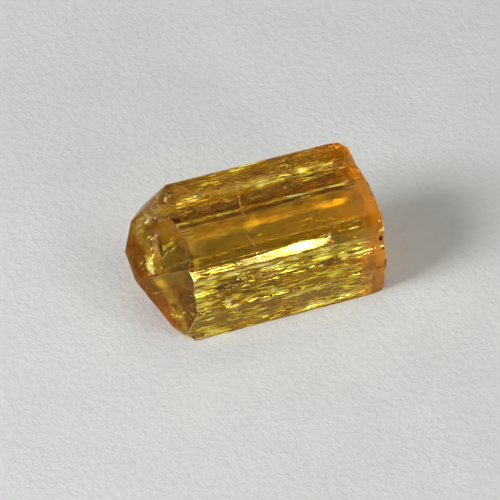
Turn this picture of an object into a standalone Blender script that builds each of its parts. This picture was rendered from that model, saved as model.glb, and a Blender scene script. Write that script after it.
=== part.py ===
"""Topaz crystal lying on one of its prism faces.

One solid: a striated orthorhombic prism with four m faces and four l faces,
a pyramid of o faces with two small y faces at the left end, and a flat
cleavage with ledges and chipped corners at the right end.

Frame: +X runs along the crystal's c axis towards the cleavage end, +Y points
to the back, +Z up. The crystal rests on z = 0 with its box centred in X and Y.
"""
import math

import bmesh
import bpy
import numpy as np
from mathutils import Vector

MM = 0.001

# Topaz axial ratio, which sets every angle between the faces
AXIS_A = 0.528
AXIS_C = 0.477

# Sizes in millimetres
PRISM_LENGTH = 14.88
PYRAMID_LENGTH = 3.49
AXIS_HEIGHT = 3.82
CORNER_FLAT = 0.27

# Distance of each prism face from the c axis
L_FRONT, M_FRONT, M_TOP, L_TOP = 4.34, 3.82, 3.59, 3.905
L_BACK, M_BACK, M_BOTTOM, L_BOTTOM = 4.79, 4.05, 4.27, AXIS_HEIGHT

# Radius at which each face of the pyramid would meet the shoulder
O_BACK_FOOT, O_BOTTOM_FOOT = 5.06, 3.25
Y_BACK_FOOT, Y_FRONT_FOOT, CHIP_FOOT = 5.60, 5.90, 5.66
Y_BACK_SLOPE, CHIP_SLOPE = 1.6, 3.0

# Broken corners of the cleavage end: radius at the end and slope of each
END_FRONT_FOOT, END_FRONT_SLOPE = 5.12, 1.2
END_BACK_FOOT, END_BACK_SLOPE = 5.25, 1.0

# Growth ledges that run along the prism
LEDGE_WIDTH = 0.44
LEDGE_DEPTH = 0.075
RISER_WIDTH = 0.05
STATIONS = 9
SEED = 7

# Terraces of the cleavage: level of the edge across the section, depth, and seed of the edge
TERRACES = ((3.1, 0.12, 3), (-3.7, 0.10, 5))
TERRACE_TEETH = 9
TERRACE_JAG = 0.35

# Points of the cut mesh closer than this are one point
WELD = 0.004

COLOUR = (0.78, 0.36, 0.05, 1.0)

# Azimuths in the cross-section, in degrees from the front, rising
M_ANGLE = math.degrees(math.atan(AXIS_A))
L_ANGLE = math.degrees(math.atan(2 * AXIS_A))
A_AZIMUTH = 90.0 - L_ANGLE
O_SLOPE = AXIS_C * math.hypot(1 / AXIS_A, 1.0)
Y_SLOPE = 2 * AXIS_C

PRISM_FACES = (
    (A_AZIMUTH - L_ANGLE, L_FRONT),
    (A_AZIMUTH - M_ANGLE, M_FRONT),
    (A_AZIMUTH + M_ANGLE, M_TOP),
    (A_AZIMUTH + L_ANGLE, L_TOP),
    (A_AZIMUTH + 180 - L_ANGLE, L_BACK),
    (A_AZIMUTH + 180 - M_ANGLE, M_BACK),
    (A_AZIMUTH + 180 + M_ANGLE, M_BOTTOM),
    (A_AZIMUTH + 180 + L_ANGLE, L_BOTTOM),
)
FRONT_CORNER = 1
CORNER_TURNS = (-0.45, 0.20)

TIP_PLANES = (
    (A_AZIMUTH - M_ANGLE, O_SLOPE, M_FRONT),
    (A_AZIMUTH + M_ANGLE, O_SLOPE, M_TOP),
    (A_AZIMUTH + 180 - M_ANGLE, O_SLOPE, O_BACK_FOOT),
    (A_AZIMUTH + 180 + M_ANGLE, O_SLOPE, O_BOTTOM_FOOT),
    (A_AZIMUTH + 90, Y_BACK_SLOPE, Y_BACK_FOOT),
    (A_AZIMUTH - 90, Y_SLOPE, Y_FRONT_FOOT),
    (A_AZIMUTH - 90, CHIP_SLOPE, CHIP_FOOT),
)
END_PLANES = (
    (A_AZIMUTH - 90, END_FRONT_SLOPE, END_FRONT_FOOT),
    (A_AZIMUTH + 90, END_BACK_SLOPE, END_BACK_FOOT),
)

# Small conchoidal chips: place along c, azimuth, radius of the ball, depth of the bite
CHIPS = (
    (-0.85, 117.0, 2.40, 0.19),
    (-1.95, 131.0, 1.70, 0.11),
    (0.05, 301.0, 2.00, 0.12),
    (PRISM_LENGTH, 112.0, 1.90, 0.20),
    (PRISM_LENGTH, 22.0, 1.40, 0.11),
    (PRISM_LENGTH, 188.0, 1.80, 0.18),
    (5.20, 228.0, 2.20, 0.11),
)


def radial(azimuth):
    """Unit vector in the section (towards the front, up) for an azimuth in degrees."""
    angle = math.radians(azimuth)
    return np.array((math.cos(angle), math.sin(angle)))


def face_corners():
    """Corners of the prism's section in order, the front one cut by two narrow faces."""
    faces = [(radial(azimuth), distance) for azimuth, distance in PRISM_FACES]
    before, after = faces[FRONT_CORNER], faces[FRONT_CORNER + 1]
    corner = meet(before, after)
    cuts = []
    for turn in CORNER_TURNS:
        normal = radial(A_AZIMUTH + turn * M_ANGLE)
        cuts.append((normal, float(normal @ corner) - CORNER_FLAT))
    faces[FRONT_CORNER + 1:FRONT_CORNER + 1] = cuts
    return [meet(faces[i - 1], faces[i]) for i in range(len(faces))]


def meet(one, other):
    """The point where two lines of the section, each a normal and a distance, cross."""
    return np.linalg.solve(np.array((one[0], other[0])), np.array((one[1], other[1])))


def ledge_marks():
    """Where the ledges of each face begin and how deep each lies at every station along c.

    Each ledge is a pair of points on its face; the two corners of the face stay sharp.
    """
    draw = np.random.default_rng(SEED)
    corners = face_corners()
    marks = []
    for index, corner in enumerate(corners):
        following = corners[(index + 1) % len(corners)]
        run = following - corner
        length = float(np.hypot(*run))
        inward = np.array((-run[1], run[0])) / length
        marks.append((corner, inward, np.zeros(STATIONS)))
        count = int(length / LEDGE_WIDTH)
        resting = abs(inward[0]) < 0.01 and inward[1] > 0
        if count < 2 or resting:
            continue
        bounds = (np.arange(1, count) + draw.uniform(-0.28, 0.28, count - 1)) / count * length
        bounds = np.concatenate(((RISER_WIDTH,), bounds, (length - RISER_WIDTH,)))
        for start, stop in zip(bounds[:-1], bounds[1:]):
            base = draw.uniform(0.1, 1.0)
            drift = draw.uniform(-0.3, 0.3, STATIONS)
            depth = LEDGE_DEPTH * np.clip(base + drift, 0.02, 1.0)
            for along in (start + RISER_WIDTH / 2, stop - RISER_WIDTH / 2):
                marks.append((corner + run * along / length, inward, depth))
    return marks


def prism(mesh):
    """A ring of ledge points at each station along c, skinned, with a flat face at both ends."""
    start = -PYRAMID_LENGTH * 1.2
    marks = ledge_marks()
    places = np.linspace(start, PRISM_LENGTH, STATIONS)
    rings = []
    for station, along in enumerate(places):
        points = [point + inward * depth[station] for point, inward, depth in marks]
        ring = [mesh.verts.new((along, -front, up + AXIS_HEIGHT)) for front, up in points]
        rings.append(ring)
    for ring, following in zip(rings[:-1], rings[1:]):
        for index in range(len(ring)):
            after = (index + 1) % len(ring)
            mesh.faces.new((ring[index], ring[after], following[after], following[index]))
    mesh.faces.new(rings[0])
    mesh.faces.new(rings[-1])
    bmesh.ops.recalc_face_normals(mesh, faces=mesh.faces)


def cut(mesh, azimuth, slope, foot, origin, outward):
    """Cut away what lies beyond a plane and close the cut.

    The plane meets x = origin at the radius foot, and comes in by 1 for each slope along c.
    outward is -1 for the pyramid's end and +1 for the cleavage end.
    """
    front, up = radial(azimuth)
    normal = Vector((outward / slope, -front, up)).normalized()
    point = Vector((origin, -front * foot, up * foot + AXIS_HEIGHT))
    geometry = list(mesh.verts) + list(mesh.edges) + list(mesh.faces)
    result = bmesh.ops.bisect_plane(mesh, geom=geometry, plane_co=point, plane_no=normal,
                                    clear_outer=True, dist=1e-6)
    rim = [part for part in result["geom_cut"] if isinstance(part, bmesh.types.BMEdge)]
    bmesh.ops.edgeloop_fill(mesh, edges=rim)


def crystal_mesh():
    """The prism with its pyramid and its broken corners, in millimetres."""
    mesh = bmesh.new()
    prism(mesh)
    for azimuth, slope, foot in TIP_PLANES:
        cut(mesh, azimuth, slope, foot, 0.0, -1)
    for azimuth, slope, foot in END_PLANES:
        cut(mesh, azimuth, slope, foot, PRISM_LENGTH, 1)
    bmesh.ops.remove_doubles(mesh, verts=mesh.verts, dist=WELD)
    bmesh.ops.triangulate(mesh, faces=mesh.faces)
    bmesh.ops.recalc_face_normals(mesh, faces=mesh.faces)
    return mesh


def terrace_cutter(level, depth, seed):
    """A slab over one side of the cleavage, its edge a jagged line across the section."""
    draw = np.random.default_rng(seed)
    reach = 7.0
    side = math.copysign(1.0, level)
    across = np.linspace(-reach, reach, TERRACE_TEETH)
    jag = level + draw.uniform(-TERRACE_JAG, TERRACE_JAG, TERRACE_TEETH)
    outline = list(zip(across, jag)) + [(reach, side * reach), (-reach, side * reach)]
    mesh = bmesh.new()
    along_a, along_b = radial(A_AZIMUTH), radial(A_AZIMUTH + 90)
    base = []
    for a_part, b_part in outline:
        front, up = a_part * along_a + b_part * along_b
        base.append(mesh.verts.new((PRISM_LENGTH - depth, -front, up + AXIS_HEIGHT)))
    lid = bmesh.ops.extrude_face_region(mesh, geom=[mesh.faces.new(base)])["geom"]
    raised = [part for part in lid if isinstance(part, bmesh.types.BMVert)]
    bmesh.ops.translate(mesh, verts=raised, vec=(depth + 2.0, 0.0, 0.0))
    bmesh.ops.recalc_face_normals(mesh, faces=mesh.faces)
    return mesh


def reach(along, azimuth):
    """How far from the c axis the surface lies in one direction of the section at a place along c."""
    limits = list(PRISM_FACES)
    limits += [(face, foot + along / slope) for face, slope, foot in TIP_PLANES]
    limits += [(face, foot + (PRISM_LENGTH - along) / slope) for face, slope, foot in END_PLANES]
    towards = radial(azimuth)
    slants = [(float(radial(face) @ towards), distance) for face, distance in limits]
    return min(distance / slant for slant, distance in slants if slant > 0.1)


def chip_cutter(along, azimuth, radius, bite):
    """A small ball that leaves a shell-shaped chip where it dips into the surface."""
    mesh = bmesh.new()
    bmesh.ops.create_icosphere(mesh, subdivisions=3, radius=radius)
    front, up = radial(azimuth) * (reach(along, azimuth) + radius - bite)
    bmesh.ops.translate(mesh, verts=mesh.verts, vec=(along, -front, up + AXIS_HEIGHT))
    return mesh


def add_object(name, mesh, holder):
    """An object from a mesh in millimetres, held by the empty that places and scales it."""
    data = bpy.data.meshes.new(name)
    mesh.to_mesh(data)
    mesh.free()
    made = bpy.data.objects.new(name, data)
    made.parent = holder
    bpy.context.collection.objects.link(made)
    return made


def crystal_material():
    """Orange-brown gem finish."""
    material = bpy.data.materials.new("topaz")
    material.use_nodes = True
    shader = material.node_tree.nodes["Principled BSDF"]
    shader.inputs["Base Color"].default_value = COLOUR
    shader.inputs["Roughness"].default_value = 0.08
    shader.inputs["Metallic"].default_value = 0.0
    shader.inputs["IOR"].default_value = 1.62
    shader.inputs["Transmission Weight"].default_value = 0.8
    return material


def add_cut(crystal, cutter):
    """Take a cutter's shape out of the crystal and keep the cutter as a hidden guide."""
    cutter.hide_render = True
    cutter.display_type = "WIRE"
    difference = crystal.modifiers.new(cutter.name, "BOOLEAN")
    difference.operation = "DIFFERENCE"
    difference.solver = "EXACT"
    difference.object = cutter


def main():
    for old in list(bpy.data.objects):
        bpy.data.objects.remove(old, do_unlink=True)
    mesh = crystal_mesh()
    spots = np.array([vertex.co for vertex in mesh.verts])
    middle = (spots.min(axis=0) + spots.max(axis=0)) / 2
    holder = bpy.data.objects.new("millimetres", None)
    holder.location = (-middle[0] * MM, -middle[1] * MM, 0.0)
    holder.scale = (MM, MM, MM)
    bpy.context.collection.objects.link(holder)
    crystal = add_object("topaz_crystal", mesh, holder)
    crystal.data.materials.append(crystal_material())
    for index, terrace in enumerate(TERRACES):
        add_cut(crystal, add_object(f"terrace_cutter_{index}", terrace_cutter(*terrace), holder))
    for index, chip in enumerate(CHIPS):
        add_cut(crystal, add_object(f"chip_cutter_{index}", chip_cutter(*chip), holder))


main()
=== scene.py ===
"""Clear orange topaz crystal on pale paper.

The crystal is one closed surface worked out on a grid of columns, which run along the
c axis, and rows, which go round it. Sizes are in millimetres until a mesh is stored.
Frame: +X along the c axis to the cleavage end, +Y to the back, +Z up, paper at z = 0.
A point of the section is (towards the front, up) from the axis, and places along c count
from the shoulder, where the prism meets the pyramid, to the cleavage.
"""
import math
from collections import namedtuple
from types import SimpleNamespace

import bpy
import numpy as np
from bpy.props import FloatProperty, FloatVectorProperty, IntProperty, PointerProperty
from mathutils import Matrix, Vector


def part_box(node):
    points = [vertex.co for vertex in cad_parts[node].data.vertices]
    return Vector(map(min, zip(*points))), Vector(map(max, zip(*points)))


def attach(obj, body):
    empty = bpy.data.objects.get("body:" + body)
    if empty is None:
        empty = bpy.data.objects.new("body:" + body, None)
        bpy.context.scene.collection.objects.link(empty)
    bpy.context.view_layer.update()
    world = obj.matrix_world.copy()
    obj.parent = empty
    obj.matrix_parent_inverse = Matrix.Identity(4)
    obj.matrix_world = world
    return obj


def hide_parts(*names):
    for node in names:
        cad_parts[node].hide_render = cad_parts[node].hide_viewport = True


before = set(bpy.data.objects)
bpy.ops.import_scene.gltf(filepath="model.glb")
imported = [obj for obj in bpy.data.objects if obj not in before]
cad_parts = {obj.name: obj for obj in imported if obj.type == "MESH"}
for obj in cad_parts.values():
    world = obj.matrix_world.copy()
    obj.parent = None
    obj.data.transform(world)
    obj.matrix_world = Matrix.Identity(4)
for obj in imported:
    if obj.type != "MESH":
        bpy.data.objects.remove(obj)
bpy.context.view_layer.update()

bl_info = {
    "name": "Topaz Crystal",
    "version": (1, 0, 0),
    "blender": (4, 5, 0),
    "location": "3D View > Sidebar > Topaz",
    "description": "Builds a striated topaz prism with its pyramid and cleavage, and its stage",
    "category": "Add Mesh",
}

MM = 0.001
NODE = "topaz_crystal"
LOW, HIGH = (np.array(corner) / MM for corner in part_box(NODE))

# Topaz axial ratio, which sets every angle between the faces
AXIS_A = 0.528
AXIS_C = 0.477
M_ANGLE = math.degrees(math.atan(AXIS_A))
L_ANGLE = math.degrees(math.atan(2 * AXIS_A))
A_AZIMUTH = 90.0 - L_ANGLE
O_SLOPE = AXIS_C * math.hypot(1 / AXIS_A, 1.0)
Y_SLOPE = 2 * AXIS_C
# Height of the c axis above the paper
AXIS_HEIGHT = 3.82

# Prism faces in order round the section: azimuth of the normal from the front, rising, distance
# from the axis, mean width of a stria, spread of its tilt in degrees, share of steep striae,
# and strength of the dark and of the bright growth streaks
Face = namedtuple("Face", "azimuth distance stria spread steep streaks bright")
FACES = {
    "front_l": Face(A_AZIMUTH - L_ANGLE, 4.34, 0.080, 3.4, 0.22, 1.0, 0.55),
    "front_m": Face(A_AZIMUTH - M_ANGLE, 3.82, 0.085, 2.8, 0.18, 1.0, 0.60),
    "corner_low": Face(A_AZIMUTH - 0.45 * M_ANGLE, None, 0.070, 1.6, 0.10, 0.30, 1.50),
    "corner_high": Face(A_AZIMUTH + 0.20 * M_ANGLE, None, 0.080, 1.2, 0.06, 0.7, 0.05),
    "edge_front": Face(A_AZIMUTH + 0.6 * M_ANGLE, None, 0.035, 0.5, 0.0, 0.2, 0.35),
    "top_m": Face(A_AZIMUTH + M_ANGLE, 3.59, 0.140, 0.6, 0.03, 0.35, 0.08),
    "edge_top": Face(A_AZIMUTH + (M_ANGLE + L_ANGLE) / 2, None, 0.060, 0.8, 0.0, 0.05, 0.88),
    "top_l": Face(A_AZIMUTH + L_ANGLE, 3.905, 0.095, 2.6, 0.16, 1.1, 0.40),
    "back_l": Face(A_AZIMUTH + 180 - L_ANGLE, 4.79, 0.095, 3.0, 0.20, 0.9, 0.40),
    "back_m": Face(A_AZIMUTH + 180 - M_ANGLE, 4.05, 0.100, 2.2, 0.14, 0.8, 0.35),
    "bottom_m": Face(A_AZIMUTH + 180 + M_ANGLE, 4.27, 0.095, 2.5, 0.15, 0.8, 0.30),
    "bottom_l": Face(A_AZIMUTH + 180 + L_ANGLE, AXIS_HEIGHT, 0.100, 2.4, 0.16, 0.8, 0.30),
}
FACE_NAMES = list(FACES)
# Narrow faces: the two faces whose corner each one cuts back, and how far
CORNER_CUTS = {
    "corner_low": ("front_m", "top_m", 0.27),
    "corner_high": ("front_m", "top_m", 0.27),
    "edge_front": ("corner_high", "top_m", 0.006),
    "edge_top": ("top_m", "top_l", 0.018),
}

# Tilt of the steep striae in degrees, on the lower front face and elsewhere, the shares of it
# that they take, and the most that any stria may take
STEEP_TILTS = {"front_l": 31.0}
STEEP_TILT = 17.0
STEEP_SHARES = (0.4, 1.1)
MOST_TILT = 1.12
# Fewest striae on a face, and the spread of the logarithm of their width
FEWEST_STRIAE, WIDTH_SPREAD = 3, 0.6
# The floor of a face's striae eases in over one part in this many of its width
EASE_PARTS = 12
# How striae swell and fade along c: step between two values, their middle and their spread
LONG_FADE = (2.6, 0.75, 0.55)
SHORT_FADE = (0.8, 0.0, 0.5)

# Planes of the pyramid and of the broken corners: azimuth, slope, radius at the shoulder or end
O_PLANES = (
    (A_AZIMUTH - M_ANGLE, O_SLOPE, 3.82),
    (A_AZIMUTH + M_ANGLE, O_SLOPE, 3.59),
    (A_AZIMUTH + 180 - M_ANGLE, O_SLOPE, 5.06),
    (A_AZIMUTH + 180 + M_ANGLE, O_SLOPE, 3.25),
)
Y_PLANES = (
    (A_AZIMUTH + 90, 1.6, 5.60),
    (A_AZIMUTH - 90, Y_SLOPE, 5.90),
    (A_AZIMUTH - 90, 3.0, 5.66),
)
END_PLANES = (
    (A_AZIMUTH - 90, 1.2, 5.12),
    (A_AZIMUTH + 90, 1.0, 5.25),
)

# Pyramid: share of the way in of its first row, rows between a column's breaks, and the share
# at which planes are compared
RIM_SHARE = 0.014
BREAK_ROWS = 5
INNER = 0.92
# Wear of the prism towards the cleavage: depth, and the length over which it grows
ROLL_OFF, ROLL_LENGTH = 0.09, 1.5

# Cleavage: ledges as level across b, side and depth; width of a ledge's step; waves of its
# jagged edge and swell between the ledges as height and length
LEDGES = ((3.1, 1, 0.12), (-3.7, -1, 0.10), (1.3, 1, 0.04), (-1.2, -1, 0.04))
LEDGE_STEP = 0.05
JAGS = ((0.22, 1.7), (0.06, 0.4))
END_SWELL = (0.006, 0.7)

# Chips placed one by one, as place along c, azimuth, radius and depth; None is the cleavage
CHIPS = ((-0.85, 117.0, 2.40, 0.05), (0.05, 301.0, 2.00, 0.12), (None, 112.0, 1.90, 0.20),
         (None, 22.0, 1.40, 0.11), (None, 188.0, 1.80, 0.18), (5.20, 228.0, 2.20, 0.11))
END_CHIPS, SHOULDER_CHIPS = 26, 8
# Ripples of a chip: height as a share of its radius, phase over a radius, and heading
RIPPLE, RIPPLE_PHASE, RIPPLE_HEADING = 0.006, 22, np.array((0.7, 0.5, 0.3))

# Dark and bright streaks: strength on the pyramid, and change across some faces in even steps
STREAKS = {
    "streaks": (0.30, {"front_m": (1.0, 0.9, 1.0, 1.1),
                       "top_m": (2.0, 1.0, 1.0, 1.0, 1.5, 2.0, 9.0),
                       "top_l": (2.4, 2.0, 1.0, 0.5, 0.6, 1.2, 0.9, 0.7)}),
    "bright": (0.15, {"front_l": (1.0, 1.2, 1.0, 0.8),
                      "front_m": (0.9, 1.0, 0.9, 1.0, 1.7),
                      "top_l": (0.05, 0.1, 0.9, 1.5, 1.0, 0.5, 0.7, 0.9)}),
}
# Clear end, which also carries a painted orange glow: its length, and the length over which the streaks
# fade into it
CLEAR_LENGTH, CLEAR_FADE = 1.15, 1.0
# How matt some faces and the pyramid are
MATT_FACES = {"corner_low": 0.15, "corner_high": 0.15, "top_m": 0.60}
MATT_TIP = 0.55

# Half width and middle of the bright band on the lower corner face, as shares of its width,
# at places along c; how sharply the band ends, and what is left of the streaks beside it
BAND_PLACES = (0.0, 3.5, 5.0, 8.0, 10.0, 11.3, 12.4)
BAND_HALF = (0.20, 0.16, 0.27, 0.42, 0.34, 0.07, 0.0)
BAND_MIDDLE = (0.30, 0.38, 0.46, 0.48, 0.52, 0.62, 0.65)
BAND_EDGE, BAND_REST = 5, 0.05
# Slope at which that face rounds away beside the band, and the length over which it starts to
LEAN_SLOPE, LEAN_START = 0.32, 0.8

# Marks on the prism lie at places along c and round the section, from the lowest front corner.
# Cracks that reach the surface, as points (round, along)
CRACKS = (
    ((9.10, 5.00), (9.75, 5.00), (10.95, 5.17), (12.18, 5.47), (13.23, 5.69)),
    ((5.60, 5.26), (6.27, 5.12), (7.56, 4.86), (8.10, 4.70)),
    ((2.10, 3.10), (2.90, 2.60), (3.80, 2.20)),
    ((5.30, 10.90), (5.90, 10.55), (6.60, 10.75)),
    ((12.20, 2.20), (12.90, 2.35), (14.10, 1.60)),
)
# Orange flakes, dark pits, places where the bright streaks gather, and painted shade where dark streaks
# are laid on, as (along, round, half length, half width)
SPOTS = {
    "flake": ((12.35, 13.47, 0.17, 0.75), (9.30, 0.90, 0.20, 0.65), (2.75, 2.60, 0.30, 0.40),
              (1.70, 13.28, 0.80, 0.45), (14.15, 12.98, 0.45, 0.30), (11.90, 3.60, 0.12, 0.60)),
    "pit": ((14.52, 5.13, 0.20, 0.28), (14.78, 3.07, 0.14, 0.34), (14.62, 4.25, 0.08, 0.12),
            (14.72, 2.20, 0.07, 0.20), (10.75, 6.15, 0.28, 0.10), (10.45, 5.95, 0.20, 0.07)),
    "glint": ((4.75, 12.24, 0.65, 0.16), (6.75, 12.26, 1.30, 0.20), (9.80, 12.40, 1.40, 0.20),
              (5.75, 14.30, 0.35, 0.14), (5.60, 7.81, 0.35, 0.14), (7.02, 7.75, 0.12, 0.10),
              (9.84, 8.67, 0.70, 0.12), (11.14, 7.70, 0.14, 0.16), (10.06, 7.75, 0.18, 0.10),
              (2.35, 3.03, 0.40, 0.30), (0.85, 1.93, 0.65, 0.20), (5.20, 2.50, 0.90, 0.18),
              (6.60, 2.84, 0.80, 0.22), (6.10, 0.30, 0.90, 0.14), (11.40, 0.70, 0.60, 0.14)),
    "shade": ((1.90, 11.00, 0.90, 0.20), (7.00, 10.70, 1.70, 0.22), (11.00, 10.95, 2.80, 0.22),
              (6.90, 9.85, 0.80, 0.16), (2.60, 4.60, 1.20, 0.35), (8.10, 4.70, 1.00, 0.25),
              (10.40, 4.30, 1.20, 0.30), (4.50, 3.70, 1.50, 0.30)),
}
# Glints and painted shade on the pyramid, as both ends of a line in x, y, z and a half width
TIP_SPOTS = {
    "glint": (((-2.14, 0.15, 5.45), (-2.42, -0.84, 4.82), 0.36),
              ((-1.26, -0.23, 6.23), (-0.76, -0.37, 6.70), 0.22),
              ((-1.14, -0.77, 6.17), (-0.70, -0.84, 6.61), 0.16),
              ((-1.25, -3.20, 1.98), (-0.84, -3.60, 2.08), 0.20),
              ((-0.45, 2.75, 8.10), (-0.20, 2.10, 8.15), 0.18)),
    "shade": (((-1.42, -0.23, 6.07), (-1.30, -0.60, 6.05), 0.14),
              ((-1.49, 2.20, 6.82), (-0.29, 1.80, 7.92), 0.22),
              ((-1.37, -2.85, 2.83), (-1.30, -2.95, 2.75), 0.35),
              ((-1.95, 0.75, 5.95), (-1.60, 1.30, 6.30), 0.45)),
}
# Bright streaks of a glint and how soon they reach that strength, and dark streaks of a spot of painted
# shade
GLINT_BRIGHT, GLINT_EDGE, SHADE_STREAKS = 1.1, 1.6, 2.0
# Distance where no crack is near
NO_CRACK = 9.0


def radial(azimuth):
    """Unit vector in the section (towards the front, up) for an azimuth in degrees."""
    angle = np.radians(azimuth)
    return np.stack((np.cos(angle), np.sin(angle)), axis=-1)


ALONG_A = radial(A_AZIMUTH)
ALONG_B = radial(A_AZIMUTH + 90)


def meet(one, other):
    """Point where two lines of the section cross: each is a normal and a distance."""
    return np.linalg.solve(np.array((one[0], other[0])), np.array((one[1], other[1])))


def face_line(name):
    """A prism face as a line of the section: its normal and its distance from the axis."""
    face = FACES[name]
    return radial(face.azimuth), face.distance


def front_corner():
    """Where the two front m faces would meet, before the corner is cut back."""
    return meet(face_line("front_m"), face_line("top_m"))


def section_corners():
    """Corners of the prism's section, some of them cut back by narrow faces.

    A narrow face's distance is its normal times the corner that it cuts, less its cut.
    """
    lines = {name: face_line(name) for name in FACES}
    for name, (before, after, cut) in CORNER_CUTS.items():
        corner = meet(lines[before], lines[after])
        lines[name] = (lines[name][0], float(lines[name][0] @ corner) - cut)
    lines = list(lines.values())
    return np.array([meet(lines[i - 1], lines[i]) for i in range(len(lines))])


def face_widths():
    """Width of every face across the section."""
    corners = section_corners()
    return np.hypot(*(np.roll(corners, -1, axis=0) - corners).T)


def waves(place, scale, count, draw):
    """Smooth noise with a spread of 1: a sum of sine waves of random heading, length and phase."""
    heading = draw.normal(size=(count, place.shape[-1]))
    heading /= np.linalg.norm(heading, axis=1, keepdims=True)
    length = scale * draw.uniform(0.6, 1.8, count)
    phase = draw.uniform(0, 2 * math.pi, count)
    turns = np.tensordot(place, (heading / length[:, None]).T, axes=1) * 2 * math.pi + phase
    return np.sin(turns).sum(axis=-1) * math.sqrt(2 / count)


def plane_heights(point, planes):
    """For each plane, how far along c the plane lies past the shoulder over a section point."""
    return np.stack([slope * (foot - point @ radial(azimuth)) for azimuth, slope, foot in planes])


def tip_height(point):
    """Height of the pyramid over the section: the lowest of its planes."""
    return plane_heights(point, O_PLANES + Y_PLANES).min(axis=0)


def apex_points():
    """Both ends of the short edge at the very tip, in the section: where three planes meet."""
    first, second, third, fourth = (
        (*radial(azimuth) * slope, 1.0, slope * foot) for azimuth, slope, foot in O_PLANES)

    def crossing(*planes):
        planes = np.array(planes)
        return np.linalg.solve(planes[:, :3], planes[:, 3])[:2]

    return crossing(first, second, fourth), crossing(second, third, fourth)


def end_height(point, sizes):
    """Place of the cleavage along c over the section: a flat with ledges and two broken corners.

    Ledges: a smooth step down wherever the b coordinate passes a jagged line. Each call draws
    from the same seed, so every part of the surface sees the same cleavage.
    """
    draw = np.random.default_rng(sizes.seed + 1)
    length = sizes.prism_length
    a_part, b_part = point @ ALONG_A, point @ ALONG_B
    jag = sum(height * waves(a_part[..., None], wave, 9, draw) for height, wave in JAGS)
    place = np.full(a_part.shape, length)
    for level, side, depth in LEDGES:
        past = (b_part - level - jag) * side / LEDGE_STEP
        place -= depth / (1 + np.exp(-np.clip(past, -40, 40)))
    place -= END_SWELL[0] * (1 + waves(point, END_SWELL[1], 14, draw))
    corners = [length + slope * (foot - point @ radial(azimuth)) for azimuth, slope, foot in END_PLANES]
    return np.minimum(place, np.stack(corners).min(axis=0))


def striae(draw):
    """The striae of every face, in order round the section.

    A face is parted into striae of random width. Returns the points where striae meet, the
    inward normal there, each stria's width and tilt, the number of its face and its share of
    the way across it.
    """
    corners = section_corners()
    parts = []
    for number, (name, face) in enumerate(FACES.items()):
        start, stop = corners[number], corners[(number + 1) % len(corners)]
        run = stop - start
        length = float(np.hypot(*run))
        count = max(FEWEST_STRIAE, int(length / face.stria))
        width = draw.lognormal(0.0, WIDTH_SPREAD, count)
        width *= length / width.sum()
        tilt = draw.normal(0.0, face.spread, count)
        sharp = draw.random(count) < face.steep
        steepest = STEEP_TILTS.get(name, STEEP_TILT)
        side = draw.choice((-1, 1), count)
        tilt = np.where(sharp, side * steepest * draw.uniform(*STEEP_SHARES, count), tilt)
        tilt = np.clip(tilt, -MOST_TILT * steepest, MOST_TILT * steepest)
        share = np.concatenate(((0.0,), np.cumsum(width)[:-1])) / length
        inward = np.broadcast_to(np.array((-run[1], run[0])) / length, (count, 2))
        parts.append((start + run * share[:, None], inward, width, np.tan(np.radians(tilt)),
                      np.full(count, number), share))
    names = ("point", "inward", "width", "tilt", "face", "share")
    return {name: np.concatenate(values) for name, values in zip(names, zip(*parts))}


def fading(along, columns, draw, knot, middle, spread):
    """How strongly each stria shows at each place along c: a random smooth curve per column.

    Random values stand about a knot apart. Between two of them the curve eases over by three
    times the square of the share of the way, less twice its cube.
    """
    low, high = along.min() - 1, along.max() + 1
    knots = max(4, int((high - low) / knot))
    values = np.clip(draw.normal(middle, spread, (knots + 1, columns)), -0.6, 1.8)
    spot = (along - low) / (high - low) * knots
    base = np.clip(spot.astype(int), 0, knots - 1)
    part = spot - base
    part = part * part * (3 - 2 * part)
    pick = np.arange(columns)
    return values[base, pick] * (1 - part) + values[base + 1, pick] * part


def stria_depth(parts, along, draw):
    """Depth of the surface below its flat face at each row and column.

    Depth is the running sum of tilt times width over a face, less the straight line that joins
    its ends, and less its lowest value, so no stria stands out and both corners stay in place.
    """
    columns = len(parts["width"])
    strength = fading(along, columns, draw, *LONG_FADE) + fading(along, columns, draw, *SHORT_FADE)
    rise = parts["tilt"] * parts["width"] * strength
    depth = np.zeros_like(along)
    for number in range(len(FACES)):
        pick = parts["face"] == number
        steps, at = rise[:, pick], parts["share"][pick]
        run = np.concatenate((np.zeros((len(steps), 1)), np.cumsum(steps, axis=1)), axis=1)
        run = run[:, :-1] - run[:, -1:] * at
        floor = run.min(axis=1, keepdims=True)
        ease = np.minimum(1.0, np.minimum(at, 1 - at) * EASE_PARTS)
        depth[:, pick] = run - floor * ease
    return depth


def spread_rows(count, crowd):
    """Row places from 0 to 1, crowded near both ends."""
    even = np.linspace(0, 1, count)
    return even - crowd * np.sin(2 * math.pi * even) / (2 * math.pi)


def tip_breaks(rim, apex):
    """Where, from the rim towards the apex, a column leaves the chip plane and the y plane.

    On a column every plane's height changes steadily, so each crossing is one division: the
    gap between two planes at the rim over the rate at which it closes.
    """
    inner = rim + (apex - rim) * INNER
    main_start, main_stop = plane_heights(rim, O_PLANES), plane_heights(inner, O_PLANES)
    pick = main_stop.argmin(axis=0)[None]
    start = np.take_along_axis(main_start, pick, 0)[0]
    grow = (np.take_along_axis(main_stop, pick, 0)[0] - start) / INNER
    side_start = plane_heights(rim, Y_PLANES)
    side_grow = (plane_heights(inner, Y_PLANES) - side_start) / INNER
    with np.errstate(divide="ignore", invalid="ignore"):
        cross = (start - side_start) / (side_grow - grow)
        chip = (side_start[1] - side_start[2]) / (side_grow[2] - side_grow[1])
    cross = np.where(side_start < start, cross, 0.0)
    last = np.clip(cross.max(axis=0), 0.03, 0.9)
    chip = np.where((side_start[2] < side_start[1]) & (chip < last), chip, last * 0.5)
    return np.clip(chip, 0.012, last * 0.95), last


def ramp(start, stop, count):
    """Rows of values that run evenly from start to stop, stop left out."""
    share = np.arange(count)[:, None] / count
    return start + (stop - start) * share


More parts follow.
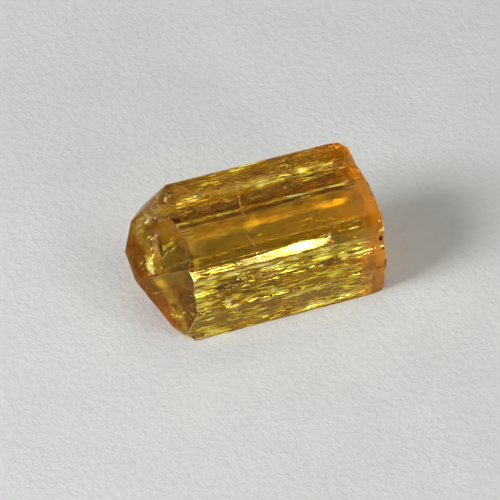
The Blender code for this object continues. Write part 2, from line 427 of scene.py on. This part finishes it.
def in_space(section, along):
    """Points in x, y, z from points of the section and places along c."""
    return np.stack((along, -section[..., 0], section[..., 1] + AXIS_HEIGHT), axis=-1)


def side_surface(parts, sizes, draw):
    """The prism: points of the section and places along c, from the rim to the cleavage.

    A point is where its stria starts, moved inwards by the stria's depth. Towards the cleavage
    wear moves it in further, by the square of the way into the worn length, but not on the
    face that the crystal rests on.
    """
    base = parts["point"]
    start, stop = -tip_height(base), end_height(base, sizes)
    along = start + (stop - start) * spread_rows(sizes.side_rows, 0.55)[:, None]
    depth = stria_depth(parts, along, draw) * sizes.stria_strength
    wear = ROLL_OFF * np.clip((along - stop + ROLL_LENGTH) / ROLL_LENGTH, 0, 1) ** 2
    wear = wear * (parts["face"] != FACE_NAMES.index("bottom_l"))
    section = base + parts["inward"] * (depth + wear)[..., None]
    along[0] = -tip_height(section[0])
    along[-1] = end_height(section[-1], sizes)
    return section, along


def tip_surface(rim, sizes, draw):
    """The pyramid: points of the section and places along c, from the rim to the apex.

    Rows stand at every column's own breaks between planes. Faint waves swell in over the first
    sixth of the way. Also tells which columns end at the far end of the apex's short edge.
    """
    near_apex, far_apex = apex_points()
    off = rim - (near_apex + far_apex) / 2
    far = (off @ ALONG_B) * 0.9 - (off @ ALONG_A) * 0.5 > 0
    apex = np.where(far[:, None], far_apex, near_apex)
    first, last = tip_breaks(rim, apex)
    narrow = np.full_like(first, RIM_SHARE)
    first = np.maximum(first, 2 * RIM_SHARE)
    share = np.concatenate((ramp(0, narrow, 1), ramp(narrow, first, BREAK_ROWS),
                            ramp(first, last, BREAK_ROWS), ramp(last, 1.0, sizes.tip_rows)))
    section = rim + (apex - rim) * share[..., None]
    swell = waves(section, 1.3, 20, draw) * np.minimum(1, share * 6)
    along = sizes.face_swell * swell - tip_height(section)
    along[0] = -tip_height(rim)
    return section, along, far


def end_surface(rim, sizes):
    """The cleavage: points of the section and places along c, from its rim in to its middle."""
    share = spread_rows(sizes.end_rows + 1, 0.3)[:-1, None]
    section = rim * (1 - share[..., None])
    return section, end_height(section, sizes)


def reach(along, azimuth, length):
    """How far from the axis the surface lies in one direction of the section, at a place along c.

    The least distance to any plane that faces that way, over the cosine of their angle.
    """
    limits = [(face.azimuth, face.distance) for face in FACES.values() if face.distance]
    limits += [(normal, foot + along / slope) for normal, slope, foot in O_PLANES + Y_PLANES]
    limits += [(normal, foot + (length - along) / slope) for normal, slope, foot in END_PLANES]
    slants = [(float(radial(normal) @ radial(azimuth)), distance) for normal, distance in limits]
    return min(distance / slant for slant, distance in slants if slant > 0.1)


def chips(length, draw):
    """Balls that bite the edges: place along c, azimuth, radius, depth."""
    large = [(length if place is None else place, *rest) for place, *rest in CHIPS]
    small = [(length, draw.uniform(0, 360), draw.uniform(0.25, 0.6), draw.uniform(0.04, 0.10))
             for _ in range(END_CHIPS)]
    shoulder = [(draw.uniform(-1.6, -0.2), draw.uniform(96, 128), draw.uniform(0.15, 0.35),
                 draw.uniform(0.008, 0.02)) for _ in range(SHOULDER_CHIPS)]
    return large + small + shoulder


def bite(points, centre, radius):
    """Push what lies inside a ball out to its surface, which carries faint sine ripples."""
    away = points - centre
    gap = np.linalg.norm(away, axis=-1, keepdims=True)
    turn = (away @ RIPPLE_HEADING)[..., None]
    rippled = radius * (1 + RIPPLE * np.sin(turn / radius * RIPPLE_PHASE))
    inside = gap < rippled
    moved = centre + away / np.maximum(gap, 1e-9) * rippled
    return np.where(inside, moved, points), inside[..., 0]


def chipped_points(points, length, draw):
    """The points after every chip has bitten them, none below the paper, and where they bit."""
    worn = np.zeros(points.shape[:2])
    for place, azimuth, radius, depth in chips(length, draw):
        out = radial(azimuth) * (reach(place, azimuth, length) + radius - depth)
        points, inside = bite(points, in_space(out, place), radius)
        worn[inside] = 1.0
    points[..., 2] = np.maximum(points[..., 2], 0.0)
    return points, worn


def crystal_grid(sizes):
    """Points of the crystal, row by row from the tip to the middle of the cleavage.

    Tip rows go from the apex edge out to the rim, side rows along c from the rim to the
    cleavage, end rows in to the middle. Returns points, the apex edge's two ends, the middle
    of the end, which columns end at the far one, and masks with one value for each point.
    """
    draw = np.random.default_rng(sizes.seed)
    length = sizes.prism_length
    parts = striae(draw)
    section, along = side_surface(parts, sizes, draw)
    tip_section, tip_along, far = tip_surface(section[0], sizes, draw)
    end_section, end_along = end_surface(section[-1], sizes)
    rim_row = len(tip_section) - 1
    end_row = rim_row + len(section) - 1
    section = np.concatenate((tip_section[:0:-1], section, end_section[1:]))
    along = np.concatenate((tip_along[:0:-1], along, end_along[1:]))
    points, worn = chipped_points(in_space(section, along), length, draw)
    apex, middle = np.array(apex_points()), np.zeros(2)
    masks = {"worn": worn, "cleaved": np.zeros_like(along), "edge": np.zeros_like(along)}
    masks["cleaved"][end_row:] = 1.0
    masks["edge"][:rim_row, parts["share"] == 0] = 0.7
    masks["edge"][rim_row] = 1.0
    masks.update(streak_masks(parts, along, length, rim_row))
    masks["matt"], masks["lean"] = corner_masks(parts, along, masks["bright"], rim_row, end_row)
    masks.update(mark_masks(parts, along, rim_row, end_row))
    for label, marks in TIP_SPOTS.items():
        masks[label][:rim_row] = line_marks(points[:rim_row], marks)
    glint = GLINT_BRIGHT * np.minimum(GLINT_EDGE * masks.pop("glint"), 1)
    masks["bright"] = np.maximum(masks["bright"], glint)
    # Painted shade: the shade spots add dark streaks where the crystal looks dark
    masks["streaks"] += SHADE_STREAKS * masks.pop("shade")
    return (points, in_space(apex, -tip_height(apex)), in_space(middle, end_height(middle, sizes)),
            far, masks)


def streak_masks(parts, along, length, rim_row):
    """Strength of the dark and of the bright streaks, and how clear the end is (which also places the
    painted orange glow), at every point.

    Each is its face's own value times its profile across the face, and fades out towards the
    cleavage. The pyramid has one value of each.
    """
    fade = np.clip((length - along - CLEAR_LENGTH) / CLEAR_FADE, 0, 1)
    masks = {"clear": 1 - fade}
    masks["clear"][:rim_row] = 0
    for label, (on_tip, profiles) in STREAKS.items():
        across = np.array([getattr(face, label) for face in FACES.values()])[parts["face"]]
        for name, profile in profiles.items():
            pick = parts["face"] == FACE_NAMES.index(name)
            across[pick] *= np.interp(parts["share"][pick], np.linspace(0, 1, len(profile)), profile)
        masks[label] = across * fade
        masks[label][:rim_row] = on_tip
    return masks


def corner_masks(parts, along, bright, rim_row, end_row):
    """How matt each point is, and how deep the lower corner face rounds away from its band.

    The band is 1 well within its half width of its middle and 0 outside, where it weakens the
    bright streaks. The depth in mm is the slope times the distance past the band's edge, level
    beyond the face's own two edges, and fades out towards the shoulder and the cleavage.
    """
    number = FACE_NAMES.index("corner_low")
    low = parts["face"] == number
    share = np.clip(parts["share"] + parts["face"] - number, 0, 1)
    half = np.interp(along, BAND_PLACES, BAND_HALF)
    past = np.abs(share - np.interp(along, BAND_PLACES, BAND_MIDDLE)) - half
    band = np.clip(-past[:, low] * BAND_EDGE, 0, 1)
    bright[:, low] *= BAND_REST + (1 - BAND_REST) * band
    matt = np.zeros_like(along)
    for name, value in MATT_FACES.items():
        matt[:, parts["face"] == FACE_NAMES.index(name)] = value
    matt[:, low] *= 1 - band
    matt[:rim_row] = MATT_TIP
    matt[end_row:] = 0
    inner = np.clip(np.minimum(along - along[rim_row], along[end_row] - along) / LEAN_START, 0, 1)
    inner[end_row:] = 0
    return matt, -np.clip(past, 0, 1) * face_widths()[number] * LEAN_SLOPE * inner


def line_marks(points, marks):
    """How deep inside a bar a point is: 1 less the squared distance to its line in half widths."""
    depth = np.zeros(points.shape[:2])
    for start, stop, half in marks:
        start, run = np.array(start), np.array(stop) - np.array(start)
        share = np.clip((points - start) @ run / (run @ run), 0, 1)
        gap = np.linalg.norm(points - start - share[..., None] * run, axis=-1)
        depth = np.maximum(depth, 1 - (gap / half) ** 2)
    return depth


def mark_masks(parts, along, rim_row, end_row):
    """Signed distance along c to the nearest crack, and how deep inside a spot a point is.

    A crack is a line of places along c over the arc round the section. Inside an ellipse the
    value is 1 less the squared distance from its middle in its own half axes.
    """
    sides = face_widths()
    starts = np.concatenate(((0.0,), np.cumsum(sides)[:-1]))
    arc = starts[parts["face"]] + parts["share"] * sides[parts["face"]]
    nearest = np.full(along.shape, NO_CRACK)
    for crack in CRACKS:
        over, place = np.array(crack).T
        gap = along - np.interp(arc, over, place)
        gap = np.where((arc > over[0]) & (arc < over[-1]), gap, NO_CRACK)
        nearest = np.where(np.abs(gap) < np.abs(nearest), gap, nearest)
    masks = {"crack": nearest}
    for label, spots in SPOTS.items():
        inside = [1 - ((along - x) / half) ** 2 - ((arc - y) / wide) ** 2 for x, y, half, wide in spots]
        masks[label] = np.clip(np.max(inside, axis=0), 0, 1)
    for label, mask in masks.items():
        mask[:rim_row] = mask[end_row:] = NO_CRACK if label == "crack" else 0.0
    return masks


def skin(points, apexes, middle, far):
    """Vertices and faces of the closed surface: quads between rows, fans at both ends."""
    rows, columns = points.shape[:2]
    index = np.arange(rows * columns).reshape(rows, columns)
    after = np.roll(index, -1, axis=1)
    quads = np.stack((index[:-1], index[1:], after[1:], after[:-1]), axis=-1).reshape(-1, 4)
    near_id, far_id, end_id = rows * columns + np.arange(3)
    top = np.where(far, far_id, near_id)
    top_after = np.roll(top, -1)
    same = top == top_after
    tip = np.stack((top, index[0], after[0]), axis=-1)[same]
    bridge = np.stack((top, index[0], after[0], top_after), axis=-1)[~same]
    close = np.stack((index[-1], np.full(columns, end_id), after[-1]), axis=-1)
    verts = np.concatenate((points.reshape(-1, 3), apexes, middle[None]))
    faces = quads.tolist() + bridge.tolist() + tip.tolist() + close.tolist()
    return verts, faces


def mesh_object(name, verts, faces, values, sharp):
    """An object at the origin from vertices in millimetres, with one attribute for each value.

    Edges that turn by more than sharp degrees are shaded as edges.
    """
    mesh = bpy.data.meshes.new(name)
    mesh.from_pydata(verts * MM, [], faces)
    for label, data in values.items():
        layer = mesh.attributes.new(label, "FLOAT", "POINT")
        layer.data.foreach_set("value", np.ascontiguousarray(data, dtype=np.float32))
    mesh.validate()
    mesh.shade_smooth()
    mesh.set_sharp_from_angle(angle=math.radians(sharp))
    made = bpy.data.objects.new(name, mesh)
    bpy.context.collection.objects.link(made)
    return made


def tip_reach():
    """Length of the pyramid from the shoulder to the tip."""
    near_apex, _ = apex_points()
    return float(tip_height(near_apex))


def frame_shift():
    """Move from the crystal's own origin, on its axis at the shoulder, to the shared frame."""
    fronts = section_corners()[:, 0]
    middle = (fronts.max() + fronts.min()) / 2
    return np.array((LOW[0] + tip_reach(), (LOW[1] + HIGH[1]) / 2 + middle, 0.0))


class Signal:
    """One socket's value in a shader, with arithmetic that adds Math nodes."""

    def __init__(self, bench, socket):
        self.bench = bench
        self.socket = socket

    def _math(self, kind, *values, clamp=False):
        settings = {"operation": kind, "use_clamp": clamp}
        return self.bench.node("ShaderNodeMath", settings, **{str(i): v for i, v in enumerate(values)})

    def __add__(self, other):
        return self._math("ADD", self, other)

    def __sub__(self, other):
        return self._math("SUBTRACT", self, other)

    def __rsub__(self, other):
        return self._math("SUBTRACT", other, self)

    def __mul__(self, other):
        return self._math("MULTIPLY", self, other)

    __radd__ = __add__
    __rmul__ = __mul__

    def above(self, level, soft):
        """0 below level, 1 above level + soft, a straight ramp between."""
        return self._math("MULTIPLY", self - level, 1.0 / soft, clamp=True)

    def most(self, other):
        return self._math("MAXIMUM", self, other)

    def size(self):
        return self._math("ABSOLUTE", self)

    def clamp(self):
        return self._math("ADD", self, 0.0, clamp=True)


class Bench:
    """Adds nodes to one node tree."""

    def __init__(self, tree):
        self.tree = tree

    def node(self, kind, settings=None, output=0, **sockets):
        """A node of a kind: settings first, then socket values or links. Returns one output."""
        made = self.tree.nodes.new(kind)
        for name, value in (settings or {}).items():
            setattr(made, name, value)
        for name, value in sockets.items():
            key = int(name) if name.isdigit() else name.replace("_", " ")
            socket = made.inputs[key]
            if isinstance(value, Signal):
                self.tree.links.new(value.socket, socket)
            else:
                socket.default_value = value
        return Signal(self, made.outputs[output]) if made.outputs else None

    def mix(self, share, one, two):
        """Colour between one and two."""
        one, two = (end if isinstance(end, Signal) else (*end, 1.0) for end in (one, two))
        sockets = {"0": share, "6": one, "7": two}
        return self.node("ShaderNodeMix", {"data_type": "RGBA"}, output=2, **sockets)

    def own(self, name):
        """One of the surface's own values."""
        return self.node("ShaderNodeAttribute", {"attribute_name": name}, output=2)

    def noise(self, scale, shift=(0, 0, 0), detail=2.0, rough=0.5):
        """Noise over object coordinates; scale is turns a millimetre along X, Y and Z."""
        spot = self.node("ShaderNodeTexCoord", output=3)
        turns = tuple(value / MM for value in scale)
        place = self.node("ShaderNodeMapping", Vector=spot, Scale=turns, Location=shift)
        return self.node("ShaderNodeTexNoise", {"noise_dimensions": "3D"}, Vector=place,
                         Scale=1.0, Detail=detail, Roughness=rough)


def new_material(name):
    """An empty node material and its bench."""
    material = bpy.data.materials.new(name)
    material.use_nodes = True
    material.node_tree.nodes.clear()
    return material, Bench(material.node_tree)


# Masks that the shader reads, and its noises: turns a millimetre, shift, detail, roughness
MASKS = ("cleaved", "worn", "streaks", "bright", "edge", "clear", "crack", "flake", "pit",
         "matt", "lean")
NOISES = {
    "lines": ((0.28, 4.2, 4.2), (0, 0, 0), 2.0, 0.55),
    "dashes": ((0.9, 8.5, 8.5), (3, 0, 0), 2.0, 0.65),
    "blots": ((0.55, 1.1, 1.1), (0, 5, 0), 2.0, 0.5),
    "hues": ((0.9, 3.0, 3.0), (0, 0, 9), 2.0, 0.5),
    "grain": ((4.5, 4.5, 4.5), (0, 7, 0), 4.0, 0.62),
}
# Depth of the bump for a relief of 1, mm
BUMP_DEPTH = 0.04
# Levels and their softness: of gloss for a bright and for a pale streak, of tone below which
# a streak is brown, and of hue for a yellower one
BRIGHT_LEVEL, PALE_LEVEL = (1.585, 0.07), (1.75, 0.14)
DARK_LEVEL, HUE_LEVEL = (0.74, 0.12), (0.42, 0.16)
# Most metallic gloss of each kind of mark
SHARES = SimpleNamespace(streak=0.85, edge=0.40, speck=0.70, crack=0.22, flake=0.16, pit=0.95,
                         clear=0.05, chip=0.35)
# Roughness of the clean faces, and what wear, the cleavage, gloss and a matt face add
POLISH, WORN_ROUGH, CLEAVED_ROUGH, GLOSS_ROUGH, MATT_ROUGH = 0.015, 0.20, 0.35, 0.25, 0.33


def topaz_marks(bench):
    """The masks and noises by name, and the shape of each mark that they make together."""
    marks = SimpleNamespace(**{name: bench.own(name) for name in MASKS})
    for name, (scale, shift, detail, rough) in NOISES.items():
        setattr(marks, name, bench.noise(scale, shift, detail, rough))
    marks.broken = marks.cleaved.most(marks.worn)
    marks.cracked = 1.0 - (marks.crack.size() + marks.grain * 0.2 - 0.10).above(0.035, 0.05)
    marks.flaked = (marks.flake + marks.grain * 0.9).above(0.75, 0.25)
    marks.pitted = (marks.pit + marks.grain * 0.9).above(0.70, 0.15)
    marks.chipped = marks.worn * marks.grain.above(0.52, 0.12)
    marks.specks = (marks.grain * 0.75 + marks.dashes * 0.45).above(0.76, 0.05)
    marks.gloss = marks.dashes * 1.3 + marks.lines * 0.3 + marks.blots + marks.bright * 0.45
    return marks


def topaz_relief(marks):
    """Height for the bump: growth lines, grain on broken surfaces, and the corner's rounding."""
    ribbing = marks.streaks.above(0.0, 1.0) * (1.0 - marks.broken)
    relief = (marks.lines * 0.5 + marks.dashes) * ribbing
    relief = relief + marks.grain * 0.5 * marks.worn.most(marks.cleaved * 0.6)
    return relief + marks.lean * (1.0 / BUMP_DEPTH)


def topaz_shine(marks):
    """Share of metallic gloss: the most of what any mark gives."""
    shine = marks.gloss.above(*BRIGHT_LEVEL) * marks.bright.above(0.0, 0.02) * SHARES.streak
    specks = marks.specks * (1.0 - marks.clear) * SHARES.speck
    for share in (marks.edge * SHARES.edge, specks * marks.streaks.above(0.05, 0.1),
                  marks.cracked * SHARES.crack, marks.flaked * SHARES.flake,
                  marks.pitted * SHARES.pit, marks.clear * SHARES.clear,
                  marks.chipped * SHARES.chip):
        shine = shine.most(share)
    return shine


def topaz_tint(bench, marks, shine, look):
    """Colour of the surface: the glossy marks' own colours over the clear body's streaks."""
    gold = bench.mix(marks.hues.above(*HUE_LEVEL), look.gold, look.pale_gold)
    gold = bench.mix(marks.gloss.above(*PALE_LEVEL), gold, look.glint_colour)
    worn = marks.edge.most(marks.cracked).most(marks.chipped).above(0.3, 0.3)
    for share, tone in ((worn, look.edge_colour), (marks.clear, look.end_gold),
                        (marks.flaked, look.flake_colour), (marks.pitted, look.pit_colour)):
        gold = bench.mix(share, gold, tone)
    dark = marks.dashes * 0.8 + marks.lines + marks.blots * 0.3 - marks.streaks * 0.25
    dark = (1.0 - dark.above(*DARK_LEVEL)) * (marks.streaks * 0.72).clamp()
    body = bench.mix(dark, (1, 1, 1), look.streak_colour)
    # Painted glow: the clear end is tinted the orange of light that has crossed the crystal's length
    body = bench.mix(marks.clear, body, look.end_colour)
    return bench.mix(shine.above(0.0, 0.2), body, gold)


def topaz_material(look):
    """Clear topaz: transmission, IOR and absorption, with fine growth lines and worn ends."""
    material, bench = new_material("topaz_clear")
    marks = topaz_marks(bench)
    bump = bench.node("ShaderNodeBump", Strength=look.line_strength, Distance=BUMP_DEPTH * MM,
                      Height=topaz_relief(marks))
    shine = topaz_shine(marks)
    roughness = (POLISH + marks.broken * (0.06 + marks.grain * 0.15) + marks.worn * WORN_ROUGH
                 + marks.cleaved * CLEAVED_ROUGH + shine * GLOSS_ROUGH
                 + marks.matt * (1.0 - shine) * MATT_ROUGH)
    shader = bench.node("ShaderNodeBsdfPrincipled", Roughness=roughness, Normal=bump, Metallic=shine,
                        Transmission_Weight=1.0, IOR=look.ior,
                        Base_Color=topaz_tint(bench, marks, shine, look),
                        Specular_Tint=(*look.sheen_colour, 1.0))
    volume = bench.node("ShaderNodeVolumeAbsorption", Color=(*look.absorb_colour, 1.0),
                        Density=look.absorb_density)
    bench.node("ShaderNodeOutputMaterial", Surface=shader, Volume=volume)
    return material


# Darkest tone of the paper as a share of its colour
PULP_SHADE = 0.94


def paper_material(stage):
    """Pale drawing paper with a fine tooth."""
    material, bench = new_material("paper")
    tooth = bench.noise((1.9, 1.9, 1.9), detail=4.0, rough=0.62)
    bump = bench.node("ShaderNodeBump", Strength=stage.tooth, Distance=0.11 * MM, Height=tooth)
    pulp = bench.noise((0.22, 0.22, 0.22), shift=(4, 0, 0), detail=3.0)
    shade = tuple(value * PULP_SHADE for value in stage.paper_colour)
    tone = bench.mix((pulp * 0.5 + tooth * 0.5).above(0.35, 0.3), shade, tuple(stage.paper_colour))
    shader = bench.node("ShaderNodeBsdfPrincipled", Base_Color=tone, Roughness=0.9, Normal=bump)
    bench.node("ShaderNodeOutputMaterial", Surface=shader)
    return material


def colour(name, description, default):
    """A colour setting."""
    return FloatVectorProperty(name=name, description=description, subtype="COLOR", size=3,
                               default=default)


def power(name, description, default):
    """A light's power setting, in watts."""
    return FloatProperty(name=name, description=description, unit="POWER", default=default)


class TopazSizes(bpy.types.PropertyGroup):
    """Sizes of the crystal in millimetres, and how finely its surface is divided."""

    prism_length: FloatProperty(name="Prism length", description="Shoulder to cleavage, mm",
                                default=float(HIGH[0] - LOW[0]) - tip_reach(), min=1.0)
    stria_strength: FloatProperty(name="Striae", description="Depth of the growth lines", default=1.0)
    face_swell: FloatProperty(name="Face swell", description="Height of growth waves on the tip, mm",
                              default=0.004)
    side_rows: IntProperty(name="Side rows", description="Rows along the prism", default=112)
    tip_rows: IntProperty(name="Tip rows", description="Rows up the pyramid", default=12)
    end_rows: IntProperty(name="End rows", description="Rows across the cleavage", default=28)
    seed: IntProperty(name="Seed", description="Which striae grow", default=11)


class TopazLook(bpy.types.PropertyGroup):
    """Optical values of the crystal."""

    ior: FloatProperty(name="IOR", description="Refractive index of topaz", default=1.62)
    absorb_colour: colour("Body colour", "Colour that the body lets through", (0.933, 0.80, 0.03))
    absorb_density: FloatProperty(name="Density", description="Absorption a metre", default=330.0)
    line_strength: FloatProperty(name="Fine lines", description="Strength of the finest growth lines",
                                 default=0.7)
    streak_colour: colour("Streaks", "Colour of the brown growth streaks", (0.17, 0.07, 0.018))
    gold: colour("Bright streaks", "Colour of the bright growth streaks", (0.55, 0.36, 0.03))
    pale_gold: colour("Pale streaks", "Colour of the yellower growth streaks", (1.0, 0.86, 0.07))
    glint_colour: colour("Glints", "Colour of the brightest growth streaks", (1.0, 0.93, 0.42))
    # Painted glow: orange tint of the clear end, standing in for light that has crossed the crystal's
    # length
    end_colour: colour("Clear end", "Tint of the clear end by the cleavage", (1.0, 0.80, 0.46))
    end_gold: colour("Clear end's gloss", "Colour of the gloss on the clear end", (1.0, 0.56, 0.16))
    flake_colour: colour("Flakes", "Colour of the flakes under the surface", (1.0, 0.50, 0.10))
    pit_colour: colour("Pits", "Colour of the pits", (0.07, 0.025, 0.008))
    edge_colour: colour("Worn edges", "Colour of the worn edges", (0.95, 0.72, 0.40))
    sheen_colour: colour("Sheen", "Tint of the surface's reflection", (1.0, 0.82, 0.25))


class TopazStage(bpy.types.PropertyGroup):
    """Paper, lights and camera."""

    paper_colour: colour("Paper", "Paper colour", (0.765, 0.79, 0.81))
    tooth: FloatProperty(name="Tooth", description="Strength of the paper's grain", default=1.0)
    window_power: power("Window light", "Power of the window light", 1.38)
    glint_power: power("Glint light", "Power of the low light on the front corner", 0.31)
    ceiling_power: power("Ceiling light", "Power of the long light above the front", 0.20)
    overhead_power: power("Overhead light", "Power of the broad light overhead", 0.07)
    rear_power: power("Rear light", "Power of the strip behind and above", 0.18)
    side_power: power("Side light", "Power of the light on the cleavage", 0.14)
    fill_power: power("Fill light", "Power of the light on the tip", 0.05)
    sky: FloatProperty(name="Sky", description="Strength of the surrounding light", default=0.03)


# The photograph: pixel of the shoulder's front corner, width in pixels, and mm a pixel
CORNER_PIXEL = (192.9, 269.2)
PICTURE = 500
PIXEL = 0.0725
# The camera: mm away, degrees to the tip's side of the front, degrees above the paper
CAMERA_DISTANCE = 300.0
CAMERA_AZIMUTH, CAMERA_ELEVATION = 20.1, 45.0
SENSOR = 36.0


def sight(azimuth, elevation):
    """Direction from the crystal, at an azimuth from the front towards the tip's side."""
    turn, rise = math.radians(azimuth), math.radians(elevation)
    return Vector((-math.sin(turn) * math.cos(rise), -math.cos(turn) * math.cos(rise), math.sin(rise)))


def across(angle):
    """Direction that the prism's faces can mirror to the camera, at an angle above the front.

    Its part along c is the reverse of the camera's, as a mirror along c leaves it.
    """
    lean = math.sin(math.radians(CAMERA_AZIMUTH)) * math.cos(math.radians(CAMERA_ELEVATION))
    flat = math.sqrt(1 - lean * lean)
    return lean, -flat * math.cos(math.radians(angle)), flat * math.sin(math.radians(angle))


# Lights: direction, two sides in mm and colour; the stage's settings hold their powers
LIGHT_DISTANCE = 400.0
DAYLIGHT = (1.0, 0.99, 0.97)
LIGHTS = {
    "window": (sight(84.0, 33.6), (190, 190), DAYLIGHT),
    "glint": (across(17.0), (90, 70), (1.0, 0.96, 0.82)),
    "ceiling": (across(68.0), (400, 60), DAYLIGHT),
    "overhead": (across(96.0), (400, 110), DAYLIGHT),
    "rear": (across(124.0), (300, 64), (1.0, 0.93, 0.72)),
    "side": ((0.57, -0.43, 0.70), (110, 110), DAYLIGHT),
    "fill": ((-0.55, -0.43, 0.71), (90, 90), DAYLIGHT),
}
SKY_COLOUR = (0.97, 1.0, 1.0, 1.0)
PAPER_HALF = 400.0
# Turn in degrees from which an edge of the crystal is shaded as an edge
CRYSTAL_SHARP = 1.2


def put(name, data, spot, axes):
    """An object for a camera or a lamp, at a spot in mm with its three axes."""
    holder = bpy.data.objects.new(name, data)
    turn = Matrix(axes).transposed().to_4x4()
    holder.matrix_world = Matrix.Translation(spot * MM) @ turn
    bpy.context.collection.objects.link(holder)
    return holder


def add_camera(shift):
    """A long lens at the photograph's angle, aimed so that the front corner lands on its pixel."""
    towards = sight(CAMERA_AZIMUTH, CAMERA_ELEVATION)
    right = (-towards).cross(Vector((0, 0, 1))).normalized()
    up = right.cross(-towards).normalized()
    front, above = front_corner()
    corner = Vector((0.0, -front, above + AXIS_HEIGHT)) + Vector(shift)
    off_right = (PICTURE / 2 - CORNER_PIXEL[0]) * PIXEL
    off_up = (CORNER_PIXEL[1] - PICTURE / 2) * PIXEL
    target = corner + right * off_right + up * off_up
    camera = bpy.data.cameras.new("photo_camera")
    camera.sensor_width = SENSOR
    camera.lens = SENSOR * CAMERA_DISTANCE / (PICTURE * PIXEL)
    camera.clip_start = 0.001
    spot = target + towards * CAMERA_DISTANCE
    bpy.context.scene.camera = put("photo_camera", camera, spot, (right, up, towards))


def add_light(name, towards, size, watts, tone):
    """An area light in one direction from the crystal, facing it, with its first side along c."""
    lamp = bpy.data.lights.new(name, "AREA")
    lamp.shape = "RECTANGLE" if size[0] != size[1] else "DISK"
    lamp.size = size[0] * MM
    lamp.size_y = size[1] * MM
    lamp.energy = watts
    lamp.color = tone
    heading = Vector(towards).normalized()
    long_side = (Vector((1, 0, 0)) - heading * heading.x).normalized()
    put(name, lamp, heading * LIGHT_DISTANCE, (long_side, heading.cross(long_side), heading))


class TOPAZ_OT_crystal(bpy.types.Operator):
    """Build the striated crystal in place of its plain solid"""

    bl_idname = "topaz.crystal"
    bl_label = "Topaz crystal"

    def execute(self, context):
        sizes, look = context.scene.topaz_sizes, context.scene.topaz_look
        points, apexes, middle, far, masks = crystal_grid(sizes)
        shift = frame_shift()
        verts, faces = skin(points + shift, apexes + shift, middle + shift, far)
        values = {name: np.concatenate((mask.ravel(), mask[0, :1], mask[0, :1], mask[-1, :1]))
                  for name, mask in masks.items()}
        crystal = mesh_object("crystal", verts, faces, values, CRYSTAL_SHARP)
        crystal.data.materials.append(topaz_material(look))
        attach(crystal, "root")
        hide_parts(NODE)
        return {"FINISHED"}


class TOPAZ_OT_stage(bpy.types.Operator):
    """Lay the paper and set the lights and the camera"""

    bl_idname = "topaz.stage"
    bl_label = "Stage"

    def execute(self, context):
        stage = context.scene.topaz_stage
        corners = np.array(((-1, -1, 0), (1, -1, 0), (1, 1, 0), (-1, 1, 0))) * PAPER_HALF
        paper = mesh_object("paper", corners, [(0, 1, 2, 3)], {}, 30)
        paper.data.materials.append(paper_material(stage))
        for name, (towards, size, tone) in LIGHTS.items():
            add_light(name, towards, size, getattr(stage, f"{name}_power"), tone)
        world = bpy.data.worlds.new("studio")
        world.use_nodes = True
        sky = world.node_tree.nodes["Background"].inputs
        sky["Color"].default_value, sky["Strength"].default_value = SKY_COLOUR, stage.sky
        context.scene.world = world
        add_camera(frame_shift())
        context.scene.view_settings.view_transform = "Standard"
        cycles = context.scene.cycles
        cycles.max_bounces, cycles.transmission_bounces, cycles.glossy_bounces = 24, 20, 12
        cycles.blur_glossy = 0.0
        return {"FINISHED"}


class TOPAZ_PT_panel(bpy.types.Panel):
    """Shows the settings of the crystal, its look and its stage, and the buttons that build them"""

    bl_label = "Topaz crystal"
    bl_idname = "TOPAZ_PT_panel"
    bl_space_type = "VIEW_3D"
    bl_region_type = "UI"
    bl_category = "Topaz"

    def draw(self, context):
        for group in GROUPS:
            box = self.layout.box()
            settings = getattr(context.scene, group)
            for name in settings.__annotations__:
                box.prop(settings, name)
        self.layout.operator(TOPAZ_OT_crystal.bl_idname)
        self.layout.operator(TOPAZ_OT_stage.bl_idname)


GROUPS = {"topaz_sizes": TopazSizes, "topaz_look": TopazLook, "topaz_stage": TopazStage}
CLASSES = (*GROUPS.values(), TOPAZ_OT_crystal, TOPAZ_OT_stage, TOPAZ_PT_panel)


def register():
    for item in CLASSES:
        bpy.utils.register_class(item)
    for name, group in GROUPS.items():
        setattr(bpy.types.Scene, name, PointerProperty(type=group))


def unregister():
    for name in GROUPS:
        delattr(bpy.types.Scene, name)
    for item in reversed(CLASSES):
        bpy.utils.unregister_class(item)


def main():
    register()
    bpy.ops.topaz.stage()
    bpy.ops.topaz.crystal()


if __name__ == "__main__":
    main()
